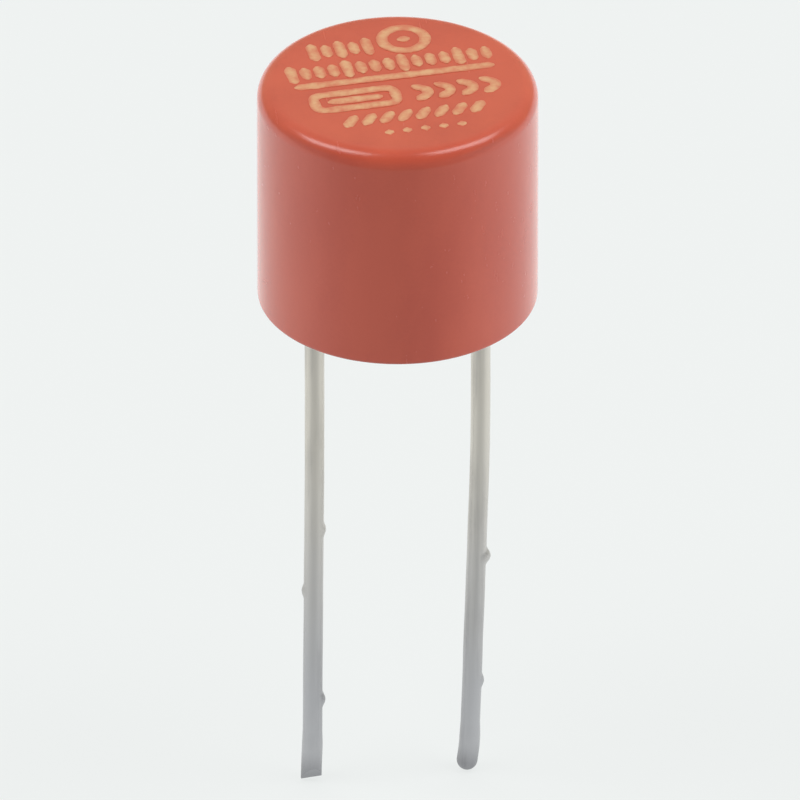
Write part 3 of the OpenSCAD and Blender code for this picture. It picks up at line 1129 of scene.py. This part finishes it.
class BuildBase(bpy.types.Operator):
    """Build the moulded base with its feet, towers, gussets and holes"""

    bl_idname = "radial_fuse.build_base"
    bl_label = "Base"

    def execute(self, context):
        fuse = context.scene.radial_fuse
        base = fuse.base
        material = moulded_plastic("Satin moulding", base)
        piece = turned("base_moulding", shell_section(fuse.cap, base), material, CAP_HIGH.x, BASE_STEPS)
        towers = turned("towers", tower_section(base), material, LEAD_X, HOLE_STEPS, 2, LEAD_X)
        feet = turned(
            "feet", foot_section(base), material, LEAD_X, FOOT_STEPS, 4, base.foot_place, base.foot_turn
        )
        join_or_cut(piece, [towers, feet, *gussets(base, material)], "UNION")
        holes = turned("holes", hole_section(base), material, LEAD_X, HOLE_STEPS, 2, LEAD_X)
        join_or_cut(piece, [holes], "DIFFERENCE")
        settle(tidy_mesh(piece, weld=0), "base_plastic", "base")
        return {"FINISHED"}


class BuildLeads(bpy.types.Operator):
    """Draw, bend and tin both leads, and finish their ends"""

    bl_idname = "radial_fuse.build_leads"
    bl_label = "Leads"

    def execute(self, context):
        fuse = context.scene.radial_fuse
        material = dipped_tin(fuse.leads)
        for name, side, seed in (("left", -1, 1.0), ("right", 1, 8.0)):
            self.build(fuse, name, side, seed, material)
        return {"FINISHED"}

    def build(self, fuse, name, side, seed, material):
        leads, element = fuse.leads, fuse.element
        lead = getattr(leads, name)
        line, heading = lead_line(lead, leads, element, side)
        start = line[-1][0]
        line += end_line(lead, leads, start, heading)
        mesh = line_mesh("lead_line", [point for point, _ in line])
        thickness = mesh.attributes.new("thickness", "FLOAT", "POINT")
        for item, (_, radius) in zip(thickness.data, line):
            item.value = radius
        piece = grow("lead_wire_" + name, mesh, recipe_named("Drawn lead", drawn_lead), {
            "Sides": leads.sides, "Ring Step": leads.ring_step, "Bend Radius": leads.bend_radius,
            "Axis": side * LEAD_X, "Square Half": leads.square, "Square From": leads.square_from,
            "Blade From": fuse.base.tower_top, "Blade Half": leads.blade_half,
            "Blade Width": leads.blade_width, "Blade Chamfer": leads.blade_chamfer,
            "Blade Top": element.height + leads.blade_above,
            "Wander": leads.wander, "Ripple": leads.ripple, "Seed": seed,
            **{label: Vector(nub) * MM for label, nub in zip(NUBS, NUB_PLACES[name])},
            "Nub Radius": leads.nub_radius, "Nub Height": leads.nub_height, "Material": material,
        })
        if not lead.domed:
            pinch_end(piece, leads, start, heading)
        notch = prism("notch", notch_outline(element), 4 * leads.blade_half, material)
        notch.data.transform(Matrix.Translation((side * LEAD_X, 0, 0)) @ Matrix.Rotation(math.pi / 2, 4, "Z"))
        join_or_cut(piece, [notch], "DIFFERENCE")
        settle(tidy_mesh(piece), "tinned_copper", "lead_" + name)


class BuildElement(bpy.types.Operator):
    """Wind the fusible wire, and finish its core and its solder"""

    bl_idname = "radial_fuse.build_element"
    bl_label = "Fusible element"

    def execute(self, context):
        element = context.scene.radial_fuse.element
        empty = bpy.data.meshes.new("wound_wire")
        piece = grow("wound_wire", empty, recipe_named("Wound wire", wound_wire), {
            "Coil Radius": element.core_radius + element.wire_gap + element.wire_radius,
            "Wire Radius": element.wire_radius, "Half Length": element.half_length,
            "Turns": 2 * element.half_length / element.wire_pitch, "Steps": element.turn_steps,
            "Sides": element.wire_sides, "Height": element.height, "Material": silvered_wire(element),
        })
        settle(tidy_mesh(piece), "fusible_wire", "element_wire")
        frame["nodes"]["element_core"].material_slots[0].material = fibre_core(element)
        solder = set_solder(element)
        for node in ("solder_left", "solder_right"):
            frame["nodes"][node].material_slots[0].material = solder
        return {"FINISHED"}


class PrintTop(bpy.types.Operator):
    """Print plain generic marks on the cap's top"""

    bl_idname = "radial_fuse.print_top"
    bl_label = "Print"

    def execute(self, context):
        fuse = context.scene.radial_fuse
        material = pad_print(fuse.print)
        tick = bar(0, 0.5)
        turns = [math.tau * i / 32 for i in range(32)]
        ring = [(0.66 * math.cos(turn), 0.66 * math.sin(turn)) for turn in turns]
        chevron = [(-0.3, 0.42), (0.32, 0), (-0.3, -0.42)]
        box = [(-1.25, -0.44), (1.25, -0.44), (1.25, 0.44), (-1.25, 0.44)]
        rows = (
            ("ring", ring, 0.75, 2.47, {"closed": True}),
            ("ring_middle", bar(0.2), 0.75, 2.47, {}),
            ("ticks", tick, -1.25, 2.3, {"count": 5, "pitch": 0.42, "every": 2}),
            ("scale", tick, 0, 1.15, {"count": 15, "pitch": 0.43, "every": 4}),
            ("scale_line", bar(3.1), 0, 0.42, {}),
            ("box", box, -1.45, -0.62, {"closed": True, "corner": 0.27}),
            ("box_line", bar(0.85), -1.45, -0.62, {}),
            ("chevrons", chevron, 1.72, -0.66, {"count": 4, "pitch": 0.7, "corner": 0.26}),
            ("dashes", bar(0.22, 0.3), 0.1, -1.85, {"count": 8, "pitch": 0.56}),
            ("dots", bar(0.14), 0.25, -2.7, {"count": 5, "pitch": 0.56}),
        )
        for name, points, across, up, how in rows:
            self.row(fuse, material, "mark_" + name, points, across, up, **how)
        return {"FINISHED"}

    def row(self, fuse, material, name, points, across, up, count=1, pitch=0.0, every=1, closed=False,
            corner=0.03):
        """Prints a row of marks. Points and places are millimetres on the top, with the rows level."""
        ink = fuse.print
        mesh = line_mesh(name, [(x * MM, y * MM, 0) for x, y in points], closed)
        piece = grow(name, mesh, recipe_named("Printed row", printed_row), {
            "Count": count, "Pitch": pitch * MM, "Across": across * MM, "Up": up * MM,
            "Turn": ink.turn, "Top": CAP_HIGH.z - ink.below, "Every": every, "Short": ink.short,
            "Corner": corner * MM, "Stroke": ink.stroke, "Film": ink.film, "Bleed": ink.bleed,
            "Material": material,
        })
        settle(tidy_mesh(piece), "print_ink")


class SetStage(bpy.types.Operator):
    """Set up the floor, the lights and the camera"""

    bl_idname = "radial_fuse.set_stage"
    bl_label = "Stage"

    def execute(self, context):
        stage = context.scene.radial_fuse.stage
        context.scene.view_settings.view_transform = "Standard"
        self.floor(context, stage)
        self.surround(context, stage)
        self.lamp(context, stage, "left_lamp", -stage.left_turn, stage.left_lamp)
        self.lamp(context, stage, "right_lamp", stage.right_turn, stage.right_lamp)
        self.camera(context, stage)
        return {"FINISHED"}

    def towards(self, stage, turn, height):
        """The direction from the fuse to a place turned this far from the camera and this high."""
        azimuth = stage.azimuth + turn
        return Vector((
            math.sin(azimuth) * math.cos(height), -math.cos(azimuth) * math.cos(height), math.sin(height)
        ))

    def floor(self, context, stage):
        half, level = stage.floor_half, CAD_BOX[0].z
        mesh = bpy.data.meshes.new("floor")
        corners = [(-half, -half, level), (half, -half, level), (half, half, level), (-half, half, level)]
        mesh.from_pydata(corners, [], [(0, 1, 2, 3)])
        mesh.materials.append(self.floor_material(stage))
        floor = bpy.data.objects.new("floor", mesh)
        context.scene.collection.objects.link(floor)

    def floor_material(self, stage):
        """Pale to the camera and to gloss, with a soft shadow, and unseen from below."""
        finish = Finish("Pale floor")
        pale = (*stage.background, 1)
        grey = (*(stage.floor_bounce,) * 3, 1)
        gloss, seen = finish.rays()
        front = self.towards(stage, 0, 0)
        ahead = finish.along(finish.place, front)
        beside = finish.step(ahead, start=1.0, stop=0.1, low=1.0, high=stage.floor_beside)
        reach = finish.vector_math("DOT_PRODUCT", finish.place, front)
        dimmed = finish.step(reach, stage.floor_near, stage.floor_far, low=1.0, high=stage.floor_ahead)
        glow = finish.node("ShaderNodeEmission", values={
            "Color": pale, "Strength": finish.mix(gloss, 1.0, beside * dimmed),
        })
        shaded, lit = (finish.node("ShaderNodeBsdfDiffuse", values={"Color": tone}) for tone in (pale, grey))
        shown = finish.blend(stage.shadow, glow, shaded)
        behind = finish.node("ShaderNodeNewGeometry").output("Backfacing")
        clear = finish.node("ShaderNodeBsdfTransparent")
        surface = finish.blend(behind, finish.blend(seen, lit, shown), clear)
        finish.node("ShaderNodeOutputMaterial", values={"Surface": surface})
        return finish.material

    def surround(self, context, stage):
        """Soft light from the walls in front and from high behind. The camera sees the pale background, and
        gloss sees a dimmer room."""
        world = bpy.data.worlds.new("Studio")
        world.use_nodes = True
        context.scene.world = world
        tree = Tree(world.node_tree)
        world.node_tree.nodes.clear()
        place = tree.node("ShaderNodeTexCoord")
        ahead = tree.along(place, self.towards(stage, 0, 0))
        beside = tree.along(place, self.towards(stage, math.pi / 2, 0))
        above = tree.along(place, (0, 0, 1))
        left = tree.step(beside, start=-0.6, stop=-1.0, high=stage.left_wall)
        right = tree.step(beside, start=0.6, stop=1.0, high=stage.right_wall)
        low_in_front = tree.step(above, start=0.5, stop=0.1) * tree.step(ahead, start=-0.35, stop=0.05)
        high_behind = tree.step(above, start=0.2, stop=0.6) * tree.step(ahead, start=-0.2, stop=-0.8)
        strength = (left + right + stage.walls) * low_in_front + high_behind * stage.behind + stage.ceiling
        light = tree.node("ShaderNodeBackground", values={"Color": (1, 1, 1, 1), "Strength": strength})
        gloss, seen = tree.rays()
        room = tree.tint(tree.step(ahead, start=-0.8, stop=0.5), stage.sky_behind, stage.sky_ahead)
        pale = tree.node("ShaderNodeBackground", values={
            "Color": tree.tint(gloss, stage.background, room), "Strength": 1.0,
        })
        tree.node("ShaderNodeOutputWorld", values={"Surface": tree.blend(seen, light, pale)})

    def lamp(self, context, stage, name, turn, watts):
        """A strip lamp over the fuse, turned this far from the camera, that runs back and outwards."""
        light = bpy.data.lights.new(name, "AREA")
        light.shape = "RECTANGLE"
        light.size, light.size_y = stage.lamp_length, stage.lamp_width
        light.energy = watts
        lamp = bpy.data.objects.new(name, light)
        context.scene.collection.objects.link(lamp)
        away = self.towards(stage, turn, stage.lamp_height)
        lamp.location = away * stage.lamp_distance
        twist = math.copysign(stage.lamp_twist, -turn)
        lamp.rotation_euler = (away.to_track_quat("Z", "Y") @ Quaternion((0, 0, 1), twist)).to_euler()

    def camera(self, context, stage):
        lens = bpy.data.cameras.new("camera")
        lens.lens = lens.sensor_width * stage.distance / stage.picture
        camera = bpy.data.objects.new("camera", lens)
        context.scene.collection.objects.link(camera)
        back = self.towards(stage, 0, stage.elevation)
        turn = back.to_track_quat("Z", "Y")
        right, up = turn @ Vector((1, 0, 0)), turn @ Vector((0, 1, 0))
        camera.location = right * stage.aim_right + up * stage.aim_up + back * stage.distance
        camera.rotation_euler = turn.to_euler()
        context.scene.camera = camera


class FusePanel(bpy.types.Panel):
    """Lists the pieces of the fuse and what can be changed"""

    bl_idname = "VIEW3D_PT_radial_fuse"
    bl_label = "Radial Lead Fuse"
    bl_space_type = "VIEW_3D"
    bl_region_type = "UI"
    bl_category = "Radial Fuse"

    def draw(self, context):
        fuse = context.scene.radial_fuse
        for operator, settings in PANEL_ROWS:
            self.layout.operator(operator.bl_idname)
            self.list_settings(self.layout.box(), getattr(fuse, settings))

    def list_settings(self, box, group):
        """Lists a group's settings in a box, and a group inside it in a box of its own."""
        for name in group.__annotations__:
            value = getattr(group, name)
            if isinstance(value, bpy.types.PropertyGroup):
                self.list_settings(box.box(), value)
            else:
                box.prop(group, name)


PANEL_ROWS = (
    (BuildCap, "cap"), (BuildBase, "base"), (BuildLeads, "leads"), (BuildElement, "element"),
    (PrintTop, "print"), (SetStage, "stage"),
)
CLASSES = (
    CapSettings, BaseSettings, LeadSettings, LeadsSettings, ElementSettings, PrintSettings, StageSettings,
    FuseSettings, BuildCap, BuildBase, BuildLeads, BuildElement, PrintTop, SetStage, FusePanel,
)


def register():
    for kind in CLASSES:
        bpy.utils.register_class(kind)
    bpy.types.Scene.radial_fuse = bundle(FuseSettings, "Radial fuse")


def unregister():
    del bpy.types.Scene.radial_fuse
    for kind in reversed(CLASSES):
        bpy.utils.unregister_class(kind)


def shape_leads(leads):
    """Gives each lead its own length, bends and end."""
    left, right = leads.left, leads.right
    left.below, right.below = 16.9 * MM, 17 * MM
    left.lean, right.lean = math.radians(0.45), math.radians(1.7)
    left.kink, right.kink = math.radians(1.5), math.radians(5)
    left.kink_length, right.kink_length = 1.1 * MM, 0.9 * MM
    left.domed, right.domed = False, True


def main():
    register()
    shape_leads(bpy.context.scene.radial_fuse.leads)
    bpy.ops.radial_fuse.set_stage()
    bpy.ops.radial_fuse.build_cap()
    bpy.ops.radial_fuse.build_base()
    bpy.ops.radial_fuse.build_leads()
    bpy.ops.radial_fuse.build_element()
    bpy.ops.radial_fuse.print_top()


if __name__ == "__main__":
    main()
